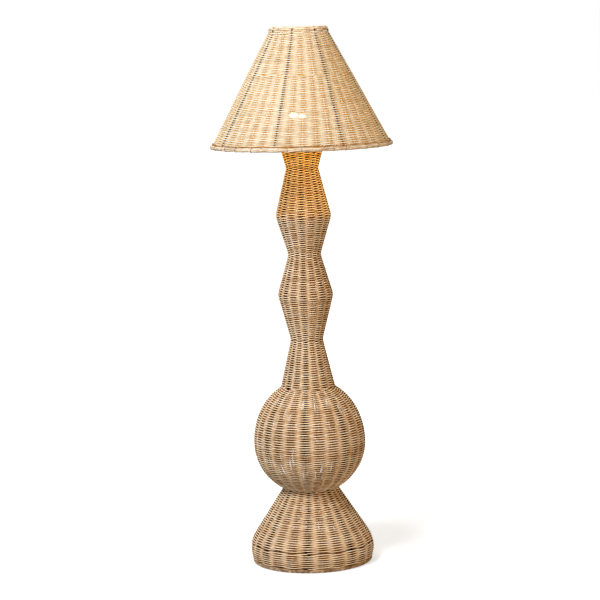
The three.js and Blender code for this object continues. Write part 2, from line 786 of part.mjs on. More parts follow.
// The rolled rim at the foot of the shade and the wrapped band round its top ring.
function shadeBorders() {
  const rollHeight = shadeRimHeight + shadeRollRadius;
  const rollCentre = coneRadius(rollHeight) - weaveThickness / 2;
  const rim = roll(rollCentre, rollHeight, shadeRollRadius, rollSides, shadeFacets, shadeTurn);
  addPiece("shade_rim", rim, finishes.cane);
  const bandBottom = lampHeight - topBandHeight;
  const crest = lampHeight - topRollRadius;
  const centre = coneRadius(crest) - topRollRadius / 2;
  const outline = [at(coneRadius(bandBottom), bandBottom)];
  for (let step = 0; step <= topRollSteps; step++) {
    const angle = (step / topRollSteps) * Math.PI;
    outline.push(at(centre + topRollRadius * Math.cos(angle), crest + topRollRadius * Math.sin(angle)));
  }
  const rollBottom = crest - topRollRadius;
  const innerBottom = levelInset(coneOutline(bandBottom, lampHeight), weaveThickness)[0];
  outline.push(at(coneRadius(rollBottom) - weaveThickness, rollBottom));
  outline.push(at(innerBottom.x, bandBottom));
  addPiece("shade_top_band", turned(outline, shadeFacets, shadeTurn), finishes.cane);
}

// The shade's wire frame: ribs welded to a top ring, and a lower ring against their inside.
function shadeFrame() {
  const ringTop = lampHeight - 2 * topRollRadius - gap - 2 * wireRadius;
  const ringBottom = shadeRimHeight + 2 * shadeRollRadius + wireRadius;
  const behind = weaveThickness + gap + wireRadius;
  const line = inset(coneOutline(ringBottom, ringTop), behind);
  const lowHeight = ringBottom + wireRadius;
  const lowRadius = radiusAt(inset(line, 2 * wireRadius + gap), lowHeight);
  const lowRing = roll(lowRadius, lowHeight, wireRadius, wireSides, shadeFacets, shadeTurn);
  addPiece("shade_low_ring", lowRing, finishes.darkWire);
  const parts = [roll(line[1].x, line[1].y, wireRadius, wireSides, shadeFacets, shadeTurn)];
  for (let index = 0; index < ribCount; index++) {
    const angle = shadeTurn + (index / ribCount) * 2 * Math.PI;
    const [foot, head] = line.map((point) => around(angle, point.x, point.y));
    parts.push(rod(foot, head, wireRadius, wireSides));
  }
  addPiece("shade_frame", joined(parts), finishes.darkWire);
  const ringInside = flatRadius(line[1].x - flatRadius(wireRadius, wireSides), shadeFacets);
  shadeSpider(ringInside - gap, line[1].y);
}

// The arms that drop from the shade's top ring to the washer on the harp.
function shadeSpider(reach, height) {
  const parts = [tube(spiderWasherRadius, studThreadRadius + gap, spiderBottom, spiderTop)];
  const slope = Math.atan2(height - spiderTop, reach - spiderWasherRadius);
  const armEnd = reach - spiderWireRadius * Math.sin(slope);
  for (let index = 0; index < spiderArmCount; index++) {
    const angle = shadeTurn + (index / spiderArmCount) * 2 * Math.PI;
    const start = around(angle, armEnd, height);
    const end = around(angle, spiderWasherRadius - spiderWireRadius, spiderTop);
    parts.push(rod(start, end, spiderWireRadius, spiderSides));
  }
  addPiece("shade_spider", joined(parts), finishes.darkWire);
}

base();
pole();
bodyRibs();
bodyRings();
spiders();
footWeave();
globeWeave();
columnWeave();
collarWeave();
cordInlet();
harpSaddle();
harp();
harpStud();
socket();
switchKey();
bulb();
shadeFrame();
shadeWeave();
shadeBorders();
finial();

export default lamp;
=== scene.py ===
# Rattan floor lamp: the woven, wired and metal looks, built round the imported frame.
# Metres, +Z up, origin on the floor under the pole, front at -Y.
import json
import math

import bmesh
import bpy
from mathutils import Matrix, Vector
from mathutils.geometry import interpolate_bezier


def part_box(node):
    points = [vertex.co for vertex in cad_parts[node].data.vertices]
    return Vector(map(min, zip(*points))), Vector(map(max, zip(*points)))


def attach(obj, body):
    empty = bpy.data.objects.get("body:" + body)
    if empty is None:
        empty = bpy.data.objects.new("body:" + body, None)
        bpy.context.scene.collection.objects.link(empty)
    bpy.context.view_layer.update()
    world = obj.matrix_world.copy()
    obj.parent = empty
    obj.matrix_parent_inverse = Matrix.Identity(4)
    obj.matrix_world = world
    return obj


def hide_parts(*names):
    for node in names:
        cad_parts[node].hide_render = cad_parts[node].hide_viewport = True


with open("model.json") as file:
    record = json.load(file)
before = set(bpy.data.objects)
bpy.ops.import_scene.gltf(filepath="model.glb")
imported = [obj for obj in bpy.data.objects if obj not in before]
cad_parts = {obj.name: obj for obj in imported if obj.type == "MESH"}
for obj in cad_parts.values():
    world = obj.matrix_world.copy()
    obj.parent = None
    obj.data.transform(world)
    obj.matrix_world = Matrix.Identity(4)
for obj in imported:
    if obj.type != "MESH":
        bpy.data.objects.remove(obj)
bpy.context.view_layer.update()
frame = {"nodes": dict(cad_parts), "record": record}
fullTurn = 2 * math.pi
ribCount = 8  # dark wires that run the whole height, both in the body and in the shade


# Node helpers, for geometry and shader trees alike

class Bench:
    def __init__(self, tree):
        self.tree = tree

    def add(self, kind, inputs=None, out=0, **settings):
        node = self.tree.nodes.new(kind)
        for setting, value in settings.items():
            setattr(node, setting, value)
        self.fill(node, inputs or {})
        return node.outputs[out]

    def fill(self, node, inputs):
        for socket, value in inputs.items():
            if isinstance(value, bpy.types.NodeSocket):
                self.tree.links.new(value, node.inputs[socket])
            else:
                node.inputs[socket].default_value = value

    def calc(self, operation, *values):
        return self.add("ShaderNodeMath", dict(enumerate(values)), operation=operation)

    def times(self, first, second):
        return self.calc("MULTIPLY", first, second)

    def vector(self, operation, *values, out=0):
        return self.add("ShaderNodeVectorMath", dict(enumerate(values)), out, operation=operation)

    def join(self, x, y, z):
        return self.add("ShaderNodeCombineXYZ", {"X": x, "Y": y, "Z": z})

    def split(self, value):
        return self.add("ShaderNodeSeparateXYZ", {"Vector": value}).node.outputs

    def mapRange(self, value, start, end, low=0.0, high=1.0):
        return self.add("ShaderNodeMapRange", {"Value": value, 1: start, 2: end, 3: low, 4: high})

    def noise(self, place, scale, detail, out=0, roughness=0.5):
        inputs = {"Vector": place, "Scale": scale, "Detail": detail, "Roughness": roughness}
        return self.add("ShaderNodeTexNoise", inputs, out)

    def attribute(self, name, out="Fac"):
        return self.add("ShaderNodeAttribute", out=out, attribute_name=name)

    def blendColors(self, share, first, second, mode="MIX"):
        inputs = {"Factor": share, 6: first, 7: second}
        return self.add("ShaderNodeMix", inputs, out=2, data_type="RGBA", blend_type=mode)

    def ramp(self, value, stops):
        socket = self.add("ShaderNodeValToRGB", {"Fac": value})
        points = socket.node.color_ramp.elements
        while len(points) < len(stops):
            points.new(1)
        for point, (place, color) in zip(points, stops):
            point.position = place
            point.color = (*color, 1)
        return socket


def startTree(name, sizes):
    tree = bpy.data.node_groups.new(name, "GeometryNodeTree")
    tree.interface.new_socket(name="Geometry", in_out="INPUT", socket_type="NodeSocketGeometry")
    for label, kind in sizes.items():
        tree.interface.new_socket(name=label, in_out="INPUT", socket_type="NodeSocket" + kind)
    tree.interface.new_socket(name="Material", in_out="INPUT", socket_type="NodeSocketMaterial")
    tree.interface.new_socket(name="Geometry", in_out="OUTPUT", socket_type="NodeSocketGeometry")
    bench = Bench(tree)
    return bench, tree.nodes.new("NodeGroupInput").outputs


def endTree(bench, geometry, material):
    solid = bench.add("GeometryNodeRealizeInstances", {"Geometry": geometry})
    smooth = bench.add("GeometryNodeSetShadeSmooth", {"Geometry": solid})
    dressed = bench.add("GeometryNodeSetMaterial", {"Geometry": smooth, "Material": material})
    last = bench.tree.nodes.new("NodeGroupOutput")
    bench.tree.links.new(dressed, last.inputs[0])
    return bench.tree


def storeNumber(bench, geometry, name, value):
    inputs = {"Geometry": geometry, "Name": name, "Value": value}
    return bench.add("GeometryNodeStoreNamedAttribute", inputs, data_type="FLOAT")


# A round section of unit radius that remembers its own place, for the fibres in the material.
def caneSection(bench, sides):
    circle = bench.add("GeometryNodeCurvePrimitiveCircle", {"Resolution": sides, "Radius": 1.0})
    spot = bench.add("GeometryNodeInputPosition")
    inputs = {"Geometry": circle, "Name": "section", "Value": spot}
    return bench.add("GeometryNodeStoreNamedAttribute", inputs, data_type="FLOAT_VECTOR")


# Sweeps the section along the curves, after it stores how far along each point lies.
def sweepCanes(bench, curves, sides, radius):
    along = bench.add("GeometryNodeSplineParameter", out="Length")
    measured = storeNumber(bench, curves, "along", along)
    section = caneSection(bench, sides)
    inputs = {"Curve": measured, "Profile Curve": section, "Scale": radius, "Fill Caps": True}
    return bench.add("GeometryNodeCurveToMesh", inputs)


# Turns a radius, an angle from the front and a height into a place.
def placeAround(bench, radius, angle, height):
    x = bench.times(radius, bench.calc("SINE", angle))
    y = bench.times(radius, bench.calc("COSINE", angle))
    return bench.join(x, bench.times(y, -1), height)


# What every weave shares: how it wanders from row to row, and how often a new cane takes over.
laying = {
    "driftScale": 1.3, "driftReach": 3,  # how fast the weave wanders, and how wide a turn in the noise
    "canesPerTurn": 1.37, "weaverStep": 97,  # each cane has a tone of its own
    "thicknessSpread": 0.3, "crestPower": 3,
    "ribPower": 3,  # how narrow the shadow is that a rib throws on the canes
}


# Weavers that chase each other up a profile, over and under an even number of stakes. The profile is
# the line of the canes that lie in front. A whole number of turns lets one length run on in the next.
# Shadow and Focus set the stored core, which marks where the material paints a dark shadow dash as a cane
# passes behind a rib.
def makeWeaveTree():
    bench, given = startTree("wickerWeave", {
        "Stakes": "Int", "Weavers": "Int", "Row Pitch": "Float", "Cane Radius": "Float", "Wave": "Float",
        "Tightness": "Float", "Lean": "Float", "Pinch": "Float", "Shadow": "Float", "Focus": "Float",
        "Turn": "Float", "Twist": "Float", "Steps": "Int", "Sides": "Int", "Unevenness": "Float",
        "Seed": "Int",
    })
    profile = bench.add("GeometryNodeMeshToCurve", {"Mesh": given["Geometry"]})
    reach = bench.add("GeometryNodeCurveLength", {"Curve": profile})
    wanted = bench.times(given["Row Pitch"], given["Weavers"])
    turns = bench.calc("MAXIMUM", bench.calc("ROUND", bench.calc("DIVIDE", reach, wanted)), 1)
    climb = bench.calc("DIVIDE", reach, turns)
    stepsPerTurn = bench.times(given["Stakes"], given["Steps"])
    count = bench.calc("MULTIPLY_ADD", turns, stepsPerTurn, 1)
    line = bench.add("GeometryNodeCurvePrimitiveLine")
    line = bench.add("GeometryNodeResampleCurve", {"Curve": line, "Count": count})
    copies = {"Geometry": line, "Amount": given["Weavers"]}
    weavers = bench.add("GeometryNodeDuplicateElements", copies, domain="SPLINE")
    weaver = weavers.node.outputs["Duplicate Index"]

    turn = bench.calc("DIVIDE", bench.add("GeometryNodeSplineParameter", out="Index"), stepsPerTurn)
    share = bench.calc("DIVIDE", weaver, given["Weavers"])
    angle = bench.times(bench.calc("SUBTRACT", turn, share), fullTurn)
    row = bench.calc("MULTIPLY_ADD", turn, given["Weavers"], bench.calc("ADD", given["Seed"], weaver))
    sway = bench.join(bench.times(bench.calc("SINE", angle), laying["driftReach"]),
                      bench.times(bench.calc("COSINE", angle), laying["driftReach"]), row)
    drift = bench.split(bench.noise(sway, laying["driftScale"], 1.0, out="Color"))

    def uneven(axis, size):
        return bench.times(bench.calc("SUBTRACT", drift[axis], 0.5), size)

    halfStakes = bench.calc("DIVIDE", given["Stakes"], 2)
    phase = bench.calc("MULTIPLY_ADD", angle, halfStakes, bench.times(weaver, math.pi))
    bend = bench.calc("COSINE", phase)
    grip = bench.calc("POWER", bench.calc("ABSOLUTE", bend), given["Tightness"])
    bend = bench.times(bend, grip)
    dip = bench.calc("MULTIPLY_ADD", bend, -0.5, 0.5)  # 0 in front, 1 behind a stake
    climbed = bench.calc("MULTIPLY_ADD", turn, climb, uneven("X", given["Unevenness"]))
    climbed = bench.calc("MULTIPLY_ADD", dip, given["Lean"], climbed)
    sample = bench.add("GeometryNodeSampleCurve", {"Curves": profile, "Length": climbed}, mode="LENGTH")
    spot = bench.split(sample.node.outputs["Position"])
    rise = bench.split(sample.node.outputs["Tangent"])

    back = bench.times(dip, bench.times(given["Wave"], 2))
    back = bench.calc("ADD", back, uneven("Y", given["Unevenness"]))
    radius = bench.calc("SUBTRACT", spot["X"], bench.times(rise["Z"], back))
    height = bench.calc("MULTIPLY_ADD", rise["X"], back, spot["Z"])
    share = bench.calc("DIVIDE", climbed, reach)
    facing = bench.calc("MULTIPLY_ADD", given["Twist"], share, given["Turn"])
    place = placeAround(bench, radius, bench.calc("ADD", angle, facing), height)
    laid = bench.add("GeometryNodeSetPosition", {"Geometry": weavers, "Position": place})
    laid = bench.add("GeometryNodeSetCurveNormal", {"Curve": laid}, mode="Z_UP")
    slope = bench.calc("ARCTAN2", rise["X"], rise["Z"])
    laid = bench.add("GeometryNodeSetCurveTilt", {"Curve": laid, "Tilt": slope})

    apart = bench.times(weaver, laying["weaverStep"])
    length = bench.calc("FLOOR", bench.calc("MULTIPLY_ADD", turn, laying["canesPerTurn"], apart))
    tone = bench.add("FunctionNodeRandomValue", {"ID": length, "Seed": given["Seed"]}, out=1)
    laid = storeNumber(bench, laid, "tone", tone)
    laid = storeNumber(bench, laid, "dip", dip)
    nearRib = bench.calc("MAXIMUM", bench.calc("COSINE", bench.times(angle, ribCount)), 0)
    shadow = bench.calc("SUBTRACT", 1, given["Shadow"])
    narrow = bench.calc("POWER", nearRib, laying["ribPower"])
    shadow = bench.calc("MULTIPLY_ADD", narrow, shadow, given["Shadow"])
    core = bench.times(bench.calc("POWER", dip, given["Focus"]), shadow)
    laid = storeNumber(bench, laid, "core", core)
    crest = bench.calc("POWER", bench.calc("SUBTRACT", 1, dip), laying["crestPower"])
    full = bench.calc("SUBTRACT", bench.calc("POWER", dip, laying["crestPower"]), crest)
    slim = bench.calc("MULTIPLY_ADD", full, given["Pinch"], uneven("Z", laying["thicknessSpread"]))
    thick = bench.calc("MULTIPLY_ADD", slim, given["Cane Radius"], given["Cane Radius"])
    canes = sweepCanes(bench, laid, given["Sides"], thick)
    return endTree(bench, canes, given["Material"])


# Uprights that follow a profile behind the weave, at even angles. Every nth one can be left out, or
# none where that number is 0.
def makeUprightTree():
    bench, given = startTree("uprights", {
        "Count": "Int", "Skip Every": "Int", "Depth": "Float", "Cane Radius": "Float",
        "Turn": "Float", "Scatter": "Float", "Sides": "Int", "Seed": "Int",
    })
    profile = bench.add("GeometryNodeMeshToCurve", {"Mesh": given["Geometry"]})
    rise = bench.split(bench.add("GeometryNodeInputTangent"))
    inward = bench.join(bench.times(rise["Z"], -1), 0.0, rise["X"])
    shift = bench.add("ShaderNodeVectorMath", {0: inward, "Scale": given["Depth"]}, operation="SCALE")
    line = bench.add("GeometryNodeSetPosition", {"Geometry": profile, "Offset": shift})
    rod = sweepCanes(bench, line, given["Sides"], given["Cane Radius"])
    spots = bench.add("GeometryNodePoints", {"Count": given["Count"]})
    index = bench.add("GeometryNodeInputIndex")
    kept = bench.calc("MODULO", index, given["Skip Every"])
    kept = bench.calc("MAXIMUM", kept, bench.calc("COMPARE", given["Skip Every"], 0, 0.5))
    draw = {2: -0.5, 3: 0.5, "ID": index, "Seed": given["Seed"]}
    stray = bench.add("FunctionNodeRandomValue", draw, out=1)
    place = bench.calc("MULTIPLY_ADD", stray, given["Scatter"], index)
    angle = bench.calc("DIVIDE", bench.times(place, fullTurn), given["Count"])
    angle = bench.calc("ADD", bench.calc("ADD", angle, given["Turn"]), -math.pi / 2)
    facing = bench.add("FunctionNodeEulerToRotation", {"Euler": bench.join(0.0, 0.0, angle)})
    inputs = {"Points": spots, "Selection": kept, "Instance": rod, "Rotation": facing}
    rods = bench.add("GeometryNodeInstanceOnPoints", inputs)
    tone = bench.add("FunctionNodeRandomValue", {"ID": index, "Seed": given["Seed"]}, out=1)
    inputs = {"Geometry": rods, "Name": "tone", "Value": tone}
    rods = bench.add("GeometryNodeStoreNamedAttribute", inputs, data_type="FLOAT", domain="INSTANCE")
    return endTree(bench, rods, given["Material"])


# Canes that twist round each other along a level circle. One cane with no coil is a plain hoop.
def makeTwistTree():
    bench, given = startTree("twistedCanes", {
        "Ring Radius": "Float", "Height": "Float", "Canes": "Int", "Cane Radius": "Float",
        "Coil Radius": "Float", "Twists": "Int", "Steps": "Int", "Sides": "Int", "Seed": "Int",
    })
    ring = bench.add("GeometryNodeCurvePrimitiveCircle", {"Resolution": given["Steps"], "Radius": 1.0})
    copies = {"Geometry": ring, "Amount": given["Canes"]}
    canes = bench.add("GeometryNodeDuplicateElements", copies, domain="SPLINE")
    cane = canes.node.outputs["Duplicate Index"]
    index = bench.add("GeometryNodeSplineParameter", out="Index")
    angle = bench.times(bench.calc("DIVIDE", index, given["Steps"]), fullTurn)
    offset = bench.times(bench.calc("DIVIDE", cane, given["Canes"]), fullTurn)
    phase = bench.calc("MULTIPLY_ADD", angle, given["Twists"], offset)
    coil = given["Coil Radius"]
    radius = bench.calc("MULTIPLY_ADD", bench.calc("COSINE", phase), coil, given["Ring Radius"])
    height = bench.calc("MULTIPLY_ADD", bench.calc("SINE", phase), coil, given["Height"])
    place = placeAround(bench, radius, angle, height)
    laid = bench.add("GeometryNodeSetPosition", {"Geometry": canes, "Position": place})
    tone = bench.add("FunctionNodeRandomValue", {"ID": cane, "Seed": given["Seed"]}, out=1)
    laid = storeNumber(bench, laid, "tone", tone)
    swept = sweepCanes(bench, laid, given["Sides"], given["Cane Radius"])
    return endTree(bench, swept, given["Material"])


weaveTree = makeWeaveTree()
uprightTree = makeUprightTree()
twistTree = makeTwistTree()
print("node trees ready")


# Profiles, read from the frame

# The outer wall of a turned CAD node, as places in the XZ plane, lowest first.
def outlineOf(node):
    mesh = frame["nodes"][node].data
    widest = {}
    for face in mesh.polygons:
        outward = face.normal.x * face.center.x + face.normal.y * face.center.y
        if outward > 0 and face.center.y < 0:
            for corner in face.vertices:
                spot = mesh.vertices[corner].co
                level = round(spot.z, 5)
                widest[level] = max(widest.get(level, 0), math.hypot(spot.x, spot.y))
    return [Vector((widest[level], 0, level)) for level in sorted(widest)]


# Rounds a coarse outline: each stretch leaves its ends along the line between their neighbours.
def rounded(outline, steps):
    last = len(outline) - 1
    headings = []
    for index in range(len(outline)):
        across = outline[min(index + 1, last)] - outline[max(index - 1, 0)]
        headings.append(across.normalized())
    path = []
    for index in range(last):
        start, end = outline[index], outline[index + 1]
        reach = (end - start).length / 3
        near, far = start + headings[index] * reach, end - headings[index + 1] * reach
        path += interpolate_bezier(start, near, far, end, steps)[:-1]
    return path + [outline[last]]


# The outline moved inwards by one distance, with its corners kept.
def inset(outline, distance):
    moved = []
    last = len(outline) - 1
    for index, spot in enumerate(outline):
        before = outline[index] - outline[index - 1] if index else outline[1] - outline[0]
        after = outline[index + 1] - outline[index] if index < last else before
        first = Vector((-before.z, 0, before.x)).normalized()
        second = Vector((-after.z, 0, after.x)).normalized()
        moved.append(spot + (first + second) * distance / (1 + first.dot(second)))
    return moved


# The part of an outline between two heights.
def stretch(outline, bottom, top):
    def at(level):
        for low, high in zip(outline, outline[1:]):
            if low.z <= level <= high.z:
                return low.lerp(high, (level - low.z) / (high.z - low.z))
        return outline[0] if level < outline[0].z else outline[-1]
    inside = [spot for spot in outline if bottom < spot.z < top]
    return [at(bottom), *inside, at(top)]


# A line in the XZ plane that swings round the Z axis as it climbs.
def twisted(path, start, end):
    swung = []
    for spot in path:
        share = (spot.z - path[0].z) / (path[-1].z - path[0].z)
        angle = start + (end - start) * share
        swung.append(Vector((spot.x * math.cos(angle), spot.x * math.sin(angle), spot.z)))
    return swung


straightLine = [Vector((0, 0, 0)), Vector((1, 0, 0))]  # for a tree that draws its own circle


def addObject(name, data):
    piece = bpy.data.objects.new(name, data)
    bpy.context.scene.collection.objects.link(piece)
    return piece


# Takes what a piece's modifiers make of it as its mesh.
def applyModifiers(piece):
    whole = piece.evaluated_get(bpy.context.evaluated_depsgraph_get())
    piece.data = bpy.data.meshes.new_from_object(whole)
    piece.modifiers.clear()


# Smooth shading, except at edges that turn by more than an angle in degrees.
def shadeSmooth(piece, sharp):
    piece.data.shade_smooth()
    piece.data.set_sharp_from_angle(angle=math.radians(sharp))


# Runs a tree on a line and keeps its result as a plain mesh.
def grow(name, path, tree, material, **sizes):
    line = bpy.data.meshes.new(name)
    line.from_pydata(path, [(index, index + 1) for index in range(len(path) - 1)], [])
    piece = addObject(name, line)
    modifier = piece.modifiers.new(tree.name, "NODES")
    modifier.node_group = tree
    values = {label.replace(" ", "").lower(): value for label, value in sizes.items()}
    values["material"] = material
    for item in tree.interface.items_tree:
        key = item.name.replace(" ", "").lower()
        if item.in_out == "INPUT" and key in values:
            modifier[item.identifier] = values.pop(key)
    if values:
        raise ValueError(f"{tree.name} has no input for {sorted(values)}")
    applyModifiers(piece)
    piece.data.name = name
    return piece


def install(piece, body, slot, *nodes):
    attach(piece, body)
    if nodes:
        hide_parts(*nodes)
    print(f"{piece.name}: {len(piece.data.polygons)} faces")
    return piece


# Materials

def startMaterial(name):
    material = bpy.data.materials.new(name)
    material.use_nodes = True
    tree = material.node_tree
    surface = tree.nodes["Principled BSDF"]
    return material, Bench(tree), surface


# Blends a color in where a value goes from its start to its end: painted shade at dips, grooves and behind
# ribs, and painted glow as well in the shade's golden dips and grooves.
def paintShadeAndGlow(bench, color, value, look):
    share = bench.mapRange(value, look["start"], look["end"], high=look["share"])
    return bench.blendColors(share, color, (*look["color"], 1))


# What all canes share. The tone, patch and mottle shares say how much each moves a cane's color.
caneFinish = {
    "toneStops": (0.2, 0.5, 0.8), "toneShare": 0.3, "patchShare": 0.5, "mottleShare": 0.7,
    "mottleScale": 70.0, "fibreScale": 3.2, "fibreStretch": 140,
    "wear": 0.5,  # how much the mottling moves the edge of the painted shade where a cane dips
    "roughSpread": 0.25, "roughDrop": 0.12, "shine": 0.02, "bump": 0.35, "bumpDepth": 0.0003,
    "grooveFocus": 4,  # how closely the light from inside keeps to the grooves between canes
}


# Cane or rattan core: lengths of different tone, fine fibres along each, broad patches of age, and painted
# shade where a cane dips behind a stake, in the groove to the next cane and behind a rib. In the shade's
# canes the golden dips and grooves are painted glow from the bulb as well as painted shade.
def caneMaterial(name, look):
    material, bench, surface = startMaterial(name)
    dip = bench.attribute("dip")
    section = bench.split(bench.attribute("section", out="Vector"))
    length = bench.times(bench.attribute("along"), caneFinish["fibreStretch"])
    stretched = bench.join(section["X"], section["Y"], length)
    fibres = bench.noise(stretched, caneFinish["fibreScale"], 3.0, roughness=0.6)
    spot = bench.add("ShaderNodeTexCoord", out="Object")
    patches = bench.noise(spot, look["patchScale"], 3.0)
    mottle = bench.noise(spot, caneFinish["mottleScale"], 2.0)
    surplus = (caneFinish["toneShare"] + caneFinish["patchShare"] + caneFinish["mottleShare"] - 1) / 2
    mix = bench.times(patches, caneFinish["patchShare"])
    mix = bench.calc("MULTIPLY_ADD", bench.attribute("tone"), caneFinish["toneShare"], mix)
    mix = bench.calc("SUBTRACT", mix, surplus)  # keeps the mean in the middle of the tones
    mix = bench.calc("MULTIPLY_ADD", mottle, caneFinish["mottleShare"], mix)
    color = bench.ramp(mix, list(zip(caneFinish["toneStops"], look["tones"])))
    wear = bench.calc("MULTIPLY_ADD", mottle, caneFinish["wear"], -caneFinish["wear"] / 2)
    side = bench.calc("ABSOLUTE", section["Y"])
    # Painted shade at the dips, the grooves and behind the ribs, from the stored attributes.
    causes = {"dip": bench.calc("ADD", dip, wear), "groove": side, "core": bench.attribute("core")}
    for cause, value in causes.items():
        if cause in look:
            color = paintShadeAndGlow(bench, color, value, look[cause])
    streak = bench.calc("MULTIPLY_ADD", fibres, look["streak"] * 2, 1 - look["streak"])
    shaded = bench.add("ShaderNodeVectorMath", {0: color, "Scale": streak}, operation="SCALE")
    smoothest = look["roughness"] - caneFinish["roughDrop"]
    rough = bench.calc("MULTIPLY_ADD", fibres, caneFinish["roughSpread"], smoothest)
    inputs = {"Height": fibres, "Strength": caneFinish["bump"], "Distance": caneFinish["bumpDepth"]}
    bump = bench.add("ShaderNodeBump", inputs)
    if "glow" in look:
        inside = bench.calc("MAXIMUM", dip, bench.calc("POWER", side, caneFinish["grooveFocus"]))
        shaded = addGlow(bench, surface, shaded, inside, look["glow"])
    bench.fill(surface, {"Base Color": shaded, "Roughness": rough, "Normal": bump,
                         "Specular IOR Level": caneFinish["shine"]})
    return material


bulbLight = {
    "color": (1.0, 0.68, 0.30), "strength": 36.0,
    "seenTones": [(0.1, (0.70, 0.40, 0.12)), (0.8, (0.82, 0.63, 0.33))],
    "frostScale": 400.0, "frostTones": [(0.3, (0.46, 0.42, 0.34)), (0.7, (0.54, 0.50, 0.42))],
    "roughness": 0.4,
}
bulbLow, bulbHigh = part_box("bulb_glass")
bulbCentre = (0, 0, bulbHigh.z - (bulbHigh.x - bulbLow.x) / 2)
columnLow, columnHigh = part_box("column_weave")
upperColumn = [spot for spot in outlineOf("column_weave") if spot.z > (columnLow.z + columnHigh.z) / 2]
glowEnd = max(upperColumn, key=lambda spot: spot.x).z  # the upper swell keeps the light off what is below
glowFade = 0.012  # how far above and below that height the glow fades out
amberFocus = 6  # how closely the amber keeps to the collar

# Painted light: bright spots painted on the shade's canes where the bulb shows between them, each with its
# place and reach.
paintedBulbSpots = {
    "gaps": [((-0.015, -0.195, 1.269), 0.011), ((0.009, -0.195, 1.266), 0.009)],
    "strength": 1.6, "color": (1, 0.96, 0.88), "raggedScale": 160.0, "ragged": 0.008,
    "stretch": (0.75, 1, 1.25),
}


# Light that soaks through the cane from the bulb: stronger near it, and where the cane lies inside.
# Gives back the cane's own color, turned amber as far as the light reaches.
def addGlow(bench, surface, color, dip, glow):
    spot = bench.add("ShaderNodeTexCoord", out="Object")
    away = bench.vector("DISTANCE", spot, bulbCentre, out="Value")
    fall = bench.calc("POWER", bench.calc("DIVIDE", glow["reach"], away), glow["fall"])
    above = bench.mapRange(bench.split(spot)["Z"], glowEnd - glowFade, glowEnd + glowFade)
    fall = bench.times(fall, above)
    inside = bench.calc("MAXIMUM", bench.calc("MULTIPLY_ADD", dip, glow["inside"], glow["all"]), 0)
    strength = bench.times(fall, inside)
    warm = bench.blendColors(1.0, color, (*glow["color"], 1), mode="MULTIPLY")
    near = bench.calc("MINIMUM", bench.calc("POWER", fall, amberFocus), 1)
    amber = bench.times(near, glow["amber"])
    lit = warm
    ragged = bench.noise(spot, paintedBulbSpots["raggedScale"], 1.0, out="Color")
    ragged = bench.vector("MULTIPLY_ADD", ragged, [paintedBulbSpots["ragged"]] * 3, spot)
    # Painted light: each bulb spot adds a bright patch to the canes' emission.
    for place, reach in glow["gaps"]:
        apart = bench.vector("MULTIPLY", bench.vector("SUBTRACT", ragged, place), paintedBulbSpots["stretch"])
        bright = bench.mapRange(bench.vector("LENGTH", apart, out="Value"), reach, reach / 2)
        lit = bench.blendColors(bright, lit, (*paintedBulbSpots["color"], 1))
        strength = bench.calc("MULTIPLY_ADD", bright, paintedBulbSpots["strength"], strength)
    bench.fill(surface, {"Emission Color": lit, "Emission Strength": strength})
    return bench.blendColors(amber, color, warm)


plainFinish = {"broadShare": 1 / 12, "roughSpread": 0.2, "bumpDepth": 0.0003}


# Plain metal, paint, plastic or card: a base color with fine mottling and a worn or brushed bump.
def plainMaterial(name, look):
    material, bench, surface = startMaterial(name)
    spot = bench.add("ShaderNodeTexCoord", out="Object")
    fine = bench.noise(spot, look["grain"], 4.0)
    broad = bench.noise(spot, look["grain"] * plainFinish["broadShare"], 2.0)
    shade = bench.calc("MULTIPLY_ADD", bench.calc("ADD", fine, broad), look["mottle"], 1 - look["mottle"])
    color = bench.add("ShaderNodeVectorMath", {0: look["color"], "Scale": shade}, operation="SCALE")
    smoothest = look["roughness"] - plainFinish["roughSpread"] / 2
    rough = bench.calc("MULTIPLY_ADD", fine, plainFinish["roughSpread"], smoothest)
    inputs = {"Height": fine, "Strength": look["bump"], "Distance": plainFinish["bumpDepth"]}
    bump = bench.add("ShaderNodeBump", inputs)
    bench.fill(surface, {"Base Color": color, "Roughness": rough, "Normal": bump,
                         "Metallic": look.get("metal", 0), "Specular IOR Level": look.get("shine", 0.5)})
    return material


# Frosted glass with the lamp on, paler towards its crown. It gives its full light to what is round it,
# and is itself shown at a level below plain white, so that its outline still reads.
def bulbMaterial():
    material, bench, surface = startMaterial("frostedLitGlass")
    spot = bench.add("ShaderNodeTexCoord", out="Object")
    frost = bench.noise(spot, bulbLight["frostScale"], 2.0)
    seen = bench.add("ShaderNodeLightPath", out="Is Camera Ray")
    rise = bench.mapRange(bench.split(spot)["Z"], bulbLow.z, bulbHigh.z)
    shown = bench.ramp(rise, bulbLight["seenTones"])
    shine = bench.blendColors(seen, (*bulbLight["color"], 1), shown)
    strength = bench.mapRange(seen, 0, 1, low=bulbLight["strength"])
    bench.fill(surface, {"Base Color": bench.ramp(frost, bulbLight["frostTones"]),
                         "Roughness": bulbLight["roughness"], "Emission Color": shine,
                         "Emission Strength": strength})
    return material


bodyCane = caneMaterial("bodyRattan", {
    "tones": [(0.56, 0.345, 0.17), (0.90, 0.66, 0.40), (0.99, 0.85, 0.62)],
    # Painted shade: the dip, groove and core colors darken the canes where they lie in shade behind stakes,
    # between canes and behind ribs.
    "dip": {"color": (0.28, 0.08, 0.018), "start": 0.42, "end": 0.85, "share": 0.92},
    "groove": {"color": (0.15, 0.030, 0.004), "start": 0.4, "end": 1.0, "share": 1},
    "core": {"color": (0.016, 0.003, 0.0006), "start": 0.08, "end": 0.42, "share": 1},
    "streak": 0.2, "patchScale": 9.0, "roughness": 0.68,
    "glow": {"all": 1.1, "inside": -1.25, "reach": 0.125, "fall": 0.48, "amber": 0.9,
             "color": (1.0, 0.68, 0.16), "gaps": []},
})
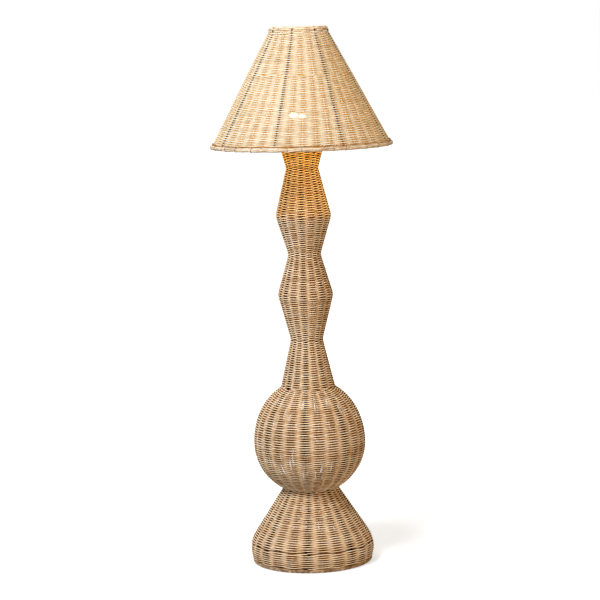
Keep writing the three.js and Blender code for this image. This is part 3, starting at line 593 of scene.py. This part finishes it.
# Painted shade: dark tones on the rattan stakes, for the shade they lie in where they show between the
# canes.
stakeCane = caneMaterial("stainedStakes", {
    "tones": [(0.08, 0.024, 0.006), (0.19, 0.07, 0.02), (0.31, 0.13, 0.045)],
    "streak": 0.25, "patchScale": 9.0, "roughness": 0.7,
})
borderCane = caneMaterial("borderCane", {
    "tones": [(0.07, 0.035, 0.015), (0.24, 0.135, 0.065), (0.60, 0.41, 0.24)],
    "streak": 0.35, "patchScale": 24.0, "roughness": 0.6,
})
shadeCane = caneMaterial("shadeRattan", {
    "tones": [(0.50, 0.465, 0.35), (0.695, 0.70, 0.59), (0.78, 0.795, 0.72)],
    # Painted glow and painted shade: golden dip and groove colors for the bulb's light between the canes,
    # darkened where they lie in shade, and a dark core as painted shadow behind a rib.
    "dip": {"color": (0.70, 0.37, 0.085), "start": 0.35, "end": 0.85, "share": 0.68},
    "groove": {"color": (0.45, 0.20, 0.02), "start": 0.45, "end": 0.92, "share": 1},
    "core": {"color": (0.045, 0.012, 0.0015), "start": 0.45, "end": 0.9, "share": 1},
    "streak": 0.18, "patchScale": 7.0, "roughness": 0.65,
    "glow": {"all": 0.04, "inside": 0.27, "reach": 0.16, "fall": 0.8, "amber": 0.0,
             "color": (1.0, 0.78, 0.26), "gaps": paintedBulbSpots["gaps"]},
})
# Painted light: golden tones and a glow on the shade's stakes, for the bulb's light in the slots where they
# show.
shadeStakeCane = caneMaterial("shadeStakes", {
    "tones": [(0.38, 0.19, 0.04), (0.57, 0.32, 0.08), (0.68, 0.42, 0.12)],
    "streak": 0.25, "patchScale": 9.0, "roughness": 0.65,
    "glow": {"all": 0.25, "inside": 0, "reach": 0.16, "fall": 1.0, "amber": 0.0,
             "color": (1.0, 0.80, 0.38), "gaps": paintedBulbSpots["gaps"]},
})
shadeRimCane = caneMaterial("shadeRimCane", {
    "tones": [(0.32, 0.20, 0.11), (0.56, 0.41, 0.265), (0.77, 0.64, 0.48)],
    "streak": 0.3, "patchScale": 22.0, "roughness": 0.55,
})
shadeTopCane = caneMaterial("shadeTopCane", {
    "tones": [(0.52, 0.38, 0.24), (0.72, 0.585, 0.42), (0.83, 0.73, 0.58)],
    # Painted glow and painted shade at the band's dips and grooves, and painted shadow behind the ribs.
    "dip": {"color": (0.55, 0.33, 0.12), "start": 0.5, "end": 1.0, "share": 0.6},
    "groove": {"color": (0.45, 0.25, 0.08), "start": 0.7, "end": 1.0, "share": 0.6},
    "core": {"color": (0.10, 0.05, 0.02), "start": 0.3, "end": 0.8, "share": 0.8},
    "streak": 0.3, "patchScale": 22.0, "roughness": 0.55,
})
pairingCane = caneMaterial("pairingCane", {
    "tones": [(0.20, 0.08, 0.022), (0.42, 0.19, 0.055), (0.72, 0.48, 0.26)],
    "streak": 0.3, "patchScale": 30.0, "roughness": 0.6,
})
lashCane = caneMaterial("darkLashing", {
    "tones": [(0.06, 0.03, 0.012), (0.20, 0.11, 0.05), (0.42, 0.27, 0.14)],
    "streak": 0.25, "patchScale": 20.0, "roughness": 0.6,
})
darkWire = plainMaterial("darkPaintedWire", {
    "color": (0.014, 0.005, 0.002), "roughness": 0.8, "grain": 300, "mottle": 0.2, "bump": 0.2,
    "shine": 0,
})
steel = plainMaterial("plainSteel", {
    "color": (0.50, 0.50, 0.51), "roughness": 0.35, "metal": 1, "grain": 500, "mottle": 0.1, "bump": 0.1,
})
castIron = plainMaterial("blackCastIron", {
    "color": (0.05, 0.047, 0.044), "roughness": 0.7, "grain": 250, "mottle": 0.2, "bump": 0.7,
})
brass = plainMaterial("satinBrass", {
    "color": (0.62, 0.44, 0.19), "roughness": 0.32, "metal": 1, "grain": 450, "mottle": 0.12, "bump": 0.1,
})
felt = plainMaterial("darkFelt", {
    "color": (0.03, 0.026, 0.022), "roughness": 0.9, "grain": 900, "mottle": 0.3, "bump": 0.9,
})
blackPlastic = plainMaterial("blackPlastic", {
    "color": (0.022, 0.02, 0.018), "roughness": 0.45, "grain": 600, "mottle": 0.1, "bump": 0.15,
})
card = plainMaterial("insulatingCard", {
    "color": (0.55, 0.43, 0.26), "roughness": 0.85, "grain": 350, "mottle": 0.15, "bump": 0.3,
})
litGlass = bulbMaterial()
finishes = {
    "dark_wire": darkWire, "steel": steel, "bulb_cap": steel, "iron": castIron, "brass": brass,
    "felt": felt, "black_plastic": blackPlastic, "card": card, "bulb_glass": litGlass,
}
print("materials ready")


# The woven body

bodyWeave = {
    "weavers": 2, "rowPitch": 0.0033, "caneRadius": 0.00174, "wave": 0.0029, "lean": 0.0, "pinch": 0.12,
    "shadow": 0.12, "focus": 12.0, "tightness": 0.4, "steps": 6, "sides": 6, "unevenness": 0.0006,
}
bodyParts = {
    "foot_weave": {"stakes": 24, "rounded": True, "lengths": [0.22, 1], "slit": 0.0022},
    "globe_weave": {"stakes": 24, "rounded": True, "lengths": [1]},
    "column_weave": {"stakes": 16, "rounded": False, "lengths": [0.2175, 0.4238, 0.784, 1], "slit": 0.0008},
    "collar_weave": {"stakes": 16, "rounded": False, "lengths": [1]},
}
bodyFrame = {
    "turn": math.radians(-5), "stakeRadius": 0.0022, "wireRadius": 0.0023,
    "ribDepthShare": 0.7,  # the dark ribs lie a little nearer the surface than the stakes
    "roundingSteps": 8,
}
frontDepth = 0.0010  # from the frame's skin to the middle of the canes that lie in front


# The lengths are shares of a part's height, and a slit is how far one stands off the next.
def dressBody():
    whole = []
    for node, part in bodyParts.items():
        outline = outlineOf(node)
        whole += rounded(outline, bodyFrame["roundingSteps"]) if part["rounded"] else outline
    line = inset(whole, frontDepth)
    start = line[0].z
    seed = 1
    for node, part in bodyParts.items():
        top = line[-1].z if node == "collar_weave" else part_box(node)[1].z
        bottom = start
        stakes = part["stakes"]
        piece = grow(node.replace("_weave", "Stakes"), stretch(line, start, top), uprightTree, stakeCane,
                     count=stakes, skipEvery=stakes // ribCount, depth=bodyWeave["wave"],
                     caneRadius=bodyFrame["stakeRadius"], turn=bodyFrame["turn"], sides=6, seed=seed)
        install(piece, "stand", "body_rattan")
        for index, share in enumerate(part["lengths"]):
            end = bottom + (top - bottom) * share
            name = node.replace("_weave", "Weave") + (f"_{index + 1}" if share < 1 else "")
            piece = grow(name, stretch(line, start, end), weaveTree, bodyCane, stakes=stakes,
                         turn=bodyFrame["turn"], seed=seed, **bodyWeave)
            install(piece, "stand", "body_rattan", node)
            start = end + (part["slit"] if share < 1 else 0)
            seed += 1
    ribs = grow("bodyRibs", line, uprightTree, darkWire, count=ribCount, skipEvery=0,
                depth=bodyWeave["wave"] * bodyFrame["ribDepthShare"], caneRadius=bodyFrame["wireRadius"],
                turn=bodyFrame["turn"], sides=8, seed=1)
    install(ribs, "stand", "dark_wire", *[f"body_rib_{index + 1}" for index in range(ribCount)])


dressBody()
print("body woven")


# The woven shade

shadeWeave = {
    "weavers": 2, "rowPitch": 0.0033, "caneRadius": 0.0018, "wave": 0.0017, "lean": 0.0017, "pinch": 0.06,
    "shadow": 0.0, "focus": 160.0, "tightness": 0.3, "steps": 6, "sides": 6, "unevenness": 0.0005,
}
shadeTurn = math.radians(-17.5)
shadeTwist = math.radians(5.5)  # how far the frame swings round from its rim to its top
shadeFrame = {
    "lengths": [(0.32, 40), (0.64, 40), (1.0, 24)],  # top of each, as a share of the height, and stakes
    "stakeRadius": 0.0021, "ribRadius": 0.0013, "ribDepthShare": 0.5,
}


def dressShade():
    line = inset(outlineOf("shade_weave"), frontDepth)
    bottom, top = line[0].z, line[-1].z
    start, low = bottom, 0
    for index, (share, stakes) in enumerate(shadeFrame["lengths"]):
        end = bottom + (top - bottom) * share
        part = stretch(line, start, end)
        piece = grow(f"shadeWeave_{index + 1}", part, weaveTree, shadeCane, stakes=stakes,
                     turn=shadeTurn + shadeTwist * low, twist=shadeTwist * (share - low), seed=20 + index,
                     **shadeWeave)
        install(piece, "shade", "shade_rattan", "shade_weave")
        swung = twisted(part, shadeTwist * low, shadeTwist * share)
        piece = grow(f"shadeStakes_{index + 1}", swung, uprightTree, shadeStakeCane, count=stakes,
                     skipEvery=stakes // ribCount, depth=shadeWeave["wave"],
                     caneRadius=shadeFrame["stakeRadius"], turn=shadeTurn, sides=6, seed=30 + index)
        install(piece, "shade", "shade_rattan")
        start, low = end, share
    ribs = grow("shadeRibs", twisted(stretch(line, bottom, top), 0, shadeTwist), uprightTree, darkWire,
                count=ribCount, skipEvery=0, depth=shadeWeave["wave"] * shadeFrame["ribDepthShare"],
                caneRadius=shadeFrame["ribRadius"], turn=shadeTurn, sides=8, seed=1)
    install(ribs, "shade", "dark_wire", "shade_frame")


ribHeads = {"heightShare": 0.5, "length": 0.004, "proud": 0.0006, "radius": 0.0020}


# The bent ends of the ribs, which show as dark spots in the band at the top.
def dressRibHeads():
    band = outlineOf("shade_top_band")
    level = band[0].z + (band[-1].z - band[0].z) * ribHeads["heightShare"]
    seat = stretch(band, level, band[-1].z)[0]
    path = [seat - Vector((ribHeads["length"], 0, 0)), seat + Vector((ribHeads["proud"], 0, 0))]
    heads = grow("shadeRibHeads", path, uprightTree, darkWire, count=ribCount, skipEvery=0, depth=0.0,
                 caneRadius=ribHeads["radius"], turn=shadeTurn + shadeTwist, sides=8, seed=1)
    install(heads, "shade", "dark_wire")


pairingRow = {"lift": 0.0034, "caneRadius": 0.0008, "twists": 75}
stepsPerTwist = 10


# The row that binds the foot of the weave to the rim.
def dressPairingRow():
    foot = outlineOf("shade_weave")[0]
    piece = grow("shadePairingRow", straightLine, twistTree, pairingCane, ringRadius=foot.x, canes=2,
                 height=foot.z + pairingRow["lift"], caneRadius=pairingRow["caneRadius"],
                 coilRadius=pairingRow["caneRadius"], twists=pairingRow["twists"],
                 steps=pairingRow["twists"] * stepsPerTwist, sides=6, seed=6)
    install(piece, "shade", "shade_cane")


dressShade()
dressRibHeads()
dressPairingRow()
print("shade woven")


# Borders of twisted cane, and wire hoops

borders = {
    "footBorder": {"node": "foot_border", "body": "stand", "slot": "body_cane", "material": borderCane,
                   "canes": 4, "caneShare": 0.44, "twist": 0.060},
    "mouthBorder": {"node": "column_border", "body": "stand", "slot": "body_cane", "material": borderCane,
                    "canes": 3, "caneShare": 0.55, "twist": 0.035},
    "shadeRim": {"node": "shade_rim", "body": "shade", "slot": "shade_cane", "material": shadeRimCane,
                 "canes": 6, "caneShare": 0.36, "twist": 0.30},
}
hoops = {
    "footHoop": {"node": "foot_ring"},
    "shoulderHoop": {"node": "shoulder_ring"},
    "neckHoop": {"node": "neck_ring"},
    "globeTopHoop": {"node": "globe_top_ring"},
    "mouthHoop": {"node": "mouth_ring"},
    "shadeLowHoop": {"node": "shade_low_ring", "body": "shade"},
}
hoopShare = 0.8  # a hoop's thickness, as a share of the ring that it takes the place of
fewestSteps = 180


# The middle of a ring's section: its radius, its height and half its thickness.
def ringOf(node):
    low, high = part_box(node)
    half = (high.z - low.z) / 2
    return high.x - half, low.z + half, half


def dressBorder(name, border):
    ring, height, half = ringOf(border["node"])
    thick = half * border["caneShare"]
    twists = round(fullTurn * ring / border["twist"])
    steps = max(twists * stepsPerTwist, fewestSteps)
    piece = grow(name, straightLine, twistTree, border["material"], ringRadius=ring, height=height,
                 canes=border["canes"], caneRadius=thick, coilRadius=half - thick, twists=twists,
                 steps=steps, sides=8, seed=3)
    install(piece, border["body"], border["slot"], border["node"])


def dressHoop(name, hoop):
    ring, height, half = ringOf(hoop["node"])
    piece = grow(name, straightLine, twistTree, darkWire, ringRadius=ring, height=height, canes=1,
                 caneRadius=half * hoopShare, coilRadius=0.0, twists=0, steps=96, sides=10, seed=1)
    install(piece, hoop.get("body", "stand"), "dark_wire", hoop["node"])


topBand = {
    "weavers": 2, "stakes": 24, "rowPitch": 0.0045, "caneRadius": 0.0024, "wave": 0.0007, "lean": 0.0,
    "pinch": 0.0, "shadow": 0.1, "focus": 14.0, "tightness": 0.0, "steps": 6, "sides": 8,
    "unevenness": 0.0009,
}


# The roll at the top of the shade: its canes run up the outside, over the top and down inside.
def dressTopBand():
    outline = outlineOf("shade_top_band")
    crest = outline[-1]
    outside = outline[1:-1]
    inside = [Vector((2 * crest.x - spot.x, 0, spot.z)) for spot in reversed(outside)]
    line = inset(outline + inside, topBand["caneRadius"])
    piece = grow("shadeTopBorder", line, weaveTree, shadeTopCane, turn=shadeTurn + shadeTwist, seed=41,
                 **topBand)
    install(piece, "shade", "shade_cane", "shade_top_band")


lashes = {"count": 26, "caneRadius": 0.0006, "proud": 0.0002, "scatter": 0.9, "corners": 12}


# Short dark bindings round the rolled rim, at uneven distances.
def dressLashes():
    ring, height, half = ringOf("shade_rim")
    reach = half + lashes["proud"]
    section = []
    for step in range(lashes["corners"] + 1):
        angle = fullTurn * step / lashes["corners"]
        section.append(Vector((ring + reach * math.cos(angle), 0, height + reach * math.sin(angle))))
    piece = grow("rimLashes", section, uprightTree, lashCane, count=lashes["count"], skipEvery=0,
                 depth=0.0, caneRadius=lashes["caneRadius"], turn=0.0, sides=6,
                 scatter=lashes["scatter"], seed=5)
    install(piece, "shade", "shade_cane")


for name, border in borders.items():
    dressBorder(name, border)
for name, hoop in hoops.items():
    dressHoop(name, hoop)
dressTopBand()
dressLashes()
print("borders and hoops laid")


# The bulb from smooth profiles, and the metal and plastic hardware from eased copies of the frame's nodes

turning = {"nearAxis": 0.0001, "crease": 40}


# A closed turned shape. Places of its outline that lie on the axis are left out, and its ends are flat.
def turned(name, outline, segments):
    rings = [spot for spot in outline if spot.x > turning["nearAxis"]]
    corners = []
    for spot in rings:
        for index in range(segments):
            angle = fullTurn * index / segments
            corners.append((spot.x * math.cos(angle), spot.x * math.sin(angle), spot.z))
    faces = []
    for ring in range(len(rings) - 1):
        for index in range(segments):
            after = (index + 1) % segments
            low, high = ring * segments, (ring + 1) * segments
            faces.append((low + index, low + after, high + after, high + index))
    faces.append(tuple(reversed(range(segments))))
    faces.append(tuple(range(len(corners) - segments, len(corners))))
    mesh = bpy.data.meshes.new(name)
    mesh.from_pydata(corners, [], faces)
    piece = addObject(name, mesh)
    shadeSmooth(piece, turning["crease"])
    return piece


bulbGlass = {"roundingSteps": 6, "segments": 64}
bulbCap = {
    "contactShare": 0.35, "shoulderShare": 0.8, "shoulderRise": 0.003, "segments": 48,
    "threadRise": 0.005, "threads": 5, "swell": 0.0006, "stepsPerThread": 8,
}


# The cap's thread is drawn as even swells along a straight sleeve.
def dressBulb():
    outline = rounded(outlineOf("bulb_glass"), bulbGlass["roundingSteps"])
    glass = turned("bulbGlass", outline, bulbGlass["segments"])
    glass.data.materials.append(litGlass)
    install(glass, "bulb", "bulb_glass", "bulb_glass")
    low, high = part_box("bulb_cap")
    radius = high.x
    outline = [Vector((radius * bulbCap["contactShare"], 0, low.z)),
               Vector((radius * bulbCap["shoulderShare"], 0, low.z + bulbCap["shoulderRise"]))]
    start = low.z + bulbCap["threadRise"]
    steps = bulbCap["threads"] * bulbCap["stepsPerThread"]
    for step in range(steps + 1):
        share = step / steps
        ripple = bulbCap["swell"] * math.cos(fullTurn * bulbCap["threads"] * share)
        outline.append(Vector((radius - bulbCap["swell"] + ripple, 0, start + (high.z - start) * share)))
    cap = turned("bulbCap", outline, bulbCap["segments"])
    cap.data.materials.append(steel)
    install(cap, "bulb", "bulb_cap", "bulb_cap")


merging = {"weld": 0.00001, "flat": math.radians(1)}


# A copy of a CAD node, merged, with its flat faces joined up and cut across at some levels.
def mergedCopy(name, node, material, crease, levels=()):
    mesh = frame["nodes"][node].data.copy()
    mesh.name = name
    work = bmesh.new()
    work.from_mesh(mesh)
    bmesh.ops.remove_doubles(work, verts=work.verts, dist=merging["weld"])
    bmesh.ops.dissolve_limit(work, angle_limit=merging["flat"], verts=work.verts, edges=work.edges)
    for level in levels:
        whole = work.verts[:] + work.edges[:] + work.faces[:]
        bmesh.ops.bisect_plane(work, geom=whole, plane_co=(0, 0, level), plane_no=(0, 0, 1))
    bmesh.ops.connect_verts_concave(work, faces=work.faces)
    hardness = work.edges.layers.float.new("crease_edge")
    for edge in work.edges:
        if edge.calc_face_angle(0) > math.radians(crease):
            edge[hardness] = 1
    work.to_mesh(mesh)
    work.free()
    mesh.materials.clear()
    mesh.materials.append(material)
    return addObject(name, mesh)


easing = {"width": 0.0003, "crease": 34}


# A finer copy of a CAD node, with its edges eased.
def refine(name, node, slot, body="stand"):
    piece = mergedCopy(name, node, finishes[slot], easing["crease"])
    bevel = piece.modifiers.new("ease", "BEVEL")
    bevel.width = easing["width"]
    bevel.segments = 2
    bevel.limit_method = "ANGLE"
    bevel.angle_limit = math.radians(easing["crease"])
    applyModifiers(piece)
    shadeSmooth(piece, easing["crease"])
    install(piece, body, slot, node)


refined = {
    "socketShell": {"node": "socket_shell", "slot": "brass"},
    "socketCap": {"node": "socket_cap", "slot": "brass"},
    "harpSaddle": {"node": "harp_saddle", "slot": "brass"},
    "switchKey": {"node": "switch_key", "body": "switch", "slot": "black_plastic"},
    "ferruleLeft": {"node": "ferrule_left", "body": "ferrule_left", "slot": "brass"},
    "ferruleRight": {"node": "ferrule_right", "body": "ferrule_right", "slot": "brass"},
    "swivelStud": {"node": "harp_stud", "body": "stud", "slot": "brass"},
    "shadeSpider": {"node": "shade_spider", "body": "shade", "slot": "dark_wire"},
    "finialKnob": {"node": "finial", "body": "finial", "slot": "brass"},
    "leadInlet": {"node": "cord_inlet", "slot": "black_plastic"},
    "feltPad": {"node": "felt_pad", "slot": "felt"},
}

harpSmoothing = {
    "straight": [0.0225, 0.025],  # cuts this far up the legs keep them straight inside the ferrules
    "crease": 70, "levels": 2,
    "fill": 0.0001,  # gives the wire back the thickness that the smoothing takes
}


# The harp's wire, bent in one smooth line.
def dressHarp():
    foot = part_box("harp")[0].z
    levels = [foot + rise for rise in harpSmoothing["straight"]]
    piece = mergedCopy("harpWire", "harp", brass, harpSmoothing["crease"], levels)
    smooth = piece.modifiers.new("smooth", "SUBSURF")
    smooth.levels = smooth.render_levels = harpSmoothing["levels"]
    fill = piece.modifiers.new("fill", "DISPLACE")
    fill.strength = harpSmoothing["fill"]
    fill.mid_level = 0
    applyModifiers(piece)
    shadeSmooth(piece, harpSmoothing["crease"])
    install(piece, "harp", "brass", "harp")


dressBulb()
dressHarp()
for name, part in refined.items():
    refine(name, **part)
print("hardware refined")


# CAD nodes that keep their own shape

def finishNodes():
    for part in frame["record"]["subparts"]:
        if part["material_slot"] in finishes:
            materials = frame["nodes"][part["node"]].data.materials
            materials.clear()
            materials.append(finishes[part["material_slot"]])


finishNodes()
print("frame nodes finished")


# Camera, light and floor

viewpoint = {"place": (0.0068, -6.20, 1.557), "pitch": -7.5, "roll": 1.6, "lens": 134.5}


def setCamera():
    data = bpy.data.cameras.new("camera")
    camera = addObject("camera", data)
    data.lens = viewpoint["lens"]
    data.sensor_width = 36
    data.dof.use_dof = False
    camera.location = viewpoint["place"]
    tilt = math.radians(90 + viewpoint["pitch"])
    camera.rotation_euler = (tilt, math.radians(viewpoint["roll"]), 0)
    bpy.context.scene.camera = camera


lamps = {
    "keyLeft": {"place": (-2.0, -3.1, 4.4), "aim": (0, 0, 0.7), "size": 1.6, "watts": 318,
                "color": (0.95, 1.0, 1.07)},
    "fillRight": {"place": (3.6, -3.0, 1.6), "aim": (0, 0, 0.8), "size": 3.0, "watts": 70,
                  "color": (1, 0.62, 0.17)},
    "backSoft": {"place": (-1.2, 4.2, 3.0), "aim": (0, 0, 0.8), "size": 3.0, "watts": 110,
                 "color": (1, 1, 1)},
}
studioLight = {"level": 0.34, "color": (1.0, 0.95, 0.87)}


# 1 for the rays that show a thing to the camera, straight or as a reflection, and 0 for the rest.
def seenRays(bench):
    path = bench.add("ShaderNodeLightPath").node.outputs
    return path, bench.calc("MAXIMUM", path["Is Camera Ray"], path["Is Glossy Ray"])


# The studio is white where it is seen, and lights the lamp at its own level and color.
def setLights():
    for name, lamp in lamps.items():
        data = bpy.data.lights.new(name, "AREA")
        data.size = lamp["size"]
        data.energy = lamp["watts"]
        data.color = lamp["color"]
        light = addObject(name, data)
        light.location = lamp["place"]
        aim = Vector(lamp["aim"]) - Vector(lamp["place"])
        light.rotation_euler = aim.to_track_quat("-Z", "Y").to_euler()
    world = bpy.data.worlds.new("studio")
    world.use_nodes = True
    bench = Bench(world.node_tree)
    background = world.node_tree.nodes["Background"]
    path, seen = seenRays(bench)
    seen = bench.calc("MAXIMUM", seen, path["Is Transmission Ray"])
    level = studioLight["level"]
    strength = bench.calc("MULTIPLY_ADD", seen, 1 - level, level)
    tint = bench.blendColors(seen, (*studioLight["color"], 1), (1, 1, 1, 1))
    bench.fill(background, {"Strength": strength, "Color": tint})
    bpy.context.scene.world = world


floorLook = {
    "size": 60, "tone": (0.5, 0.5, 0.5, 1), "roughness": 0.9,
    "near": (0.4, 0.58), "far": (2.2, 1.0),  # distance, and what the floor lacks there to look white
}


# The floor looks white to the camera, with the lamp's own shadow left on it.
def layFloor():
    bpy.ops.mesh.primitive_plane_add(size=floorLook["size"])
    floor = bpy.context.object
    floor.name = "floor"
    material, bench, surface = startMaterial("paleFloor")
    away = bench.vector("LENGTH", bench.add("ShaderNodeTexCoord", out="Object"), out="Value")
    near, far = floorLook["near"], floorLook["far"]
    lift = bench.mapRange(away, near[0], far[0], near[1], far[1])
    lift = bench.times(lift, seenRays(bench)[1])
    bench.fill(surface, {"Base Color": floorLook["tone"], "Roughness": floorLook["roughness"],
                         "Specular IOR Level": 0, "Emission Color": (1, 1, 1, 1),
                         "Emission Strength": lift})
    floor.data.materials.append(material)


setCamera()
setLights()
layFloor()
bpy.context.scene.view_settings.view_transform = "Standard"
print("camera, light and floor set")
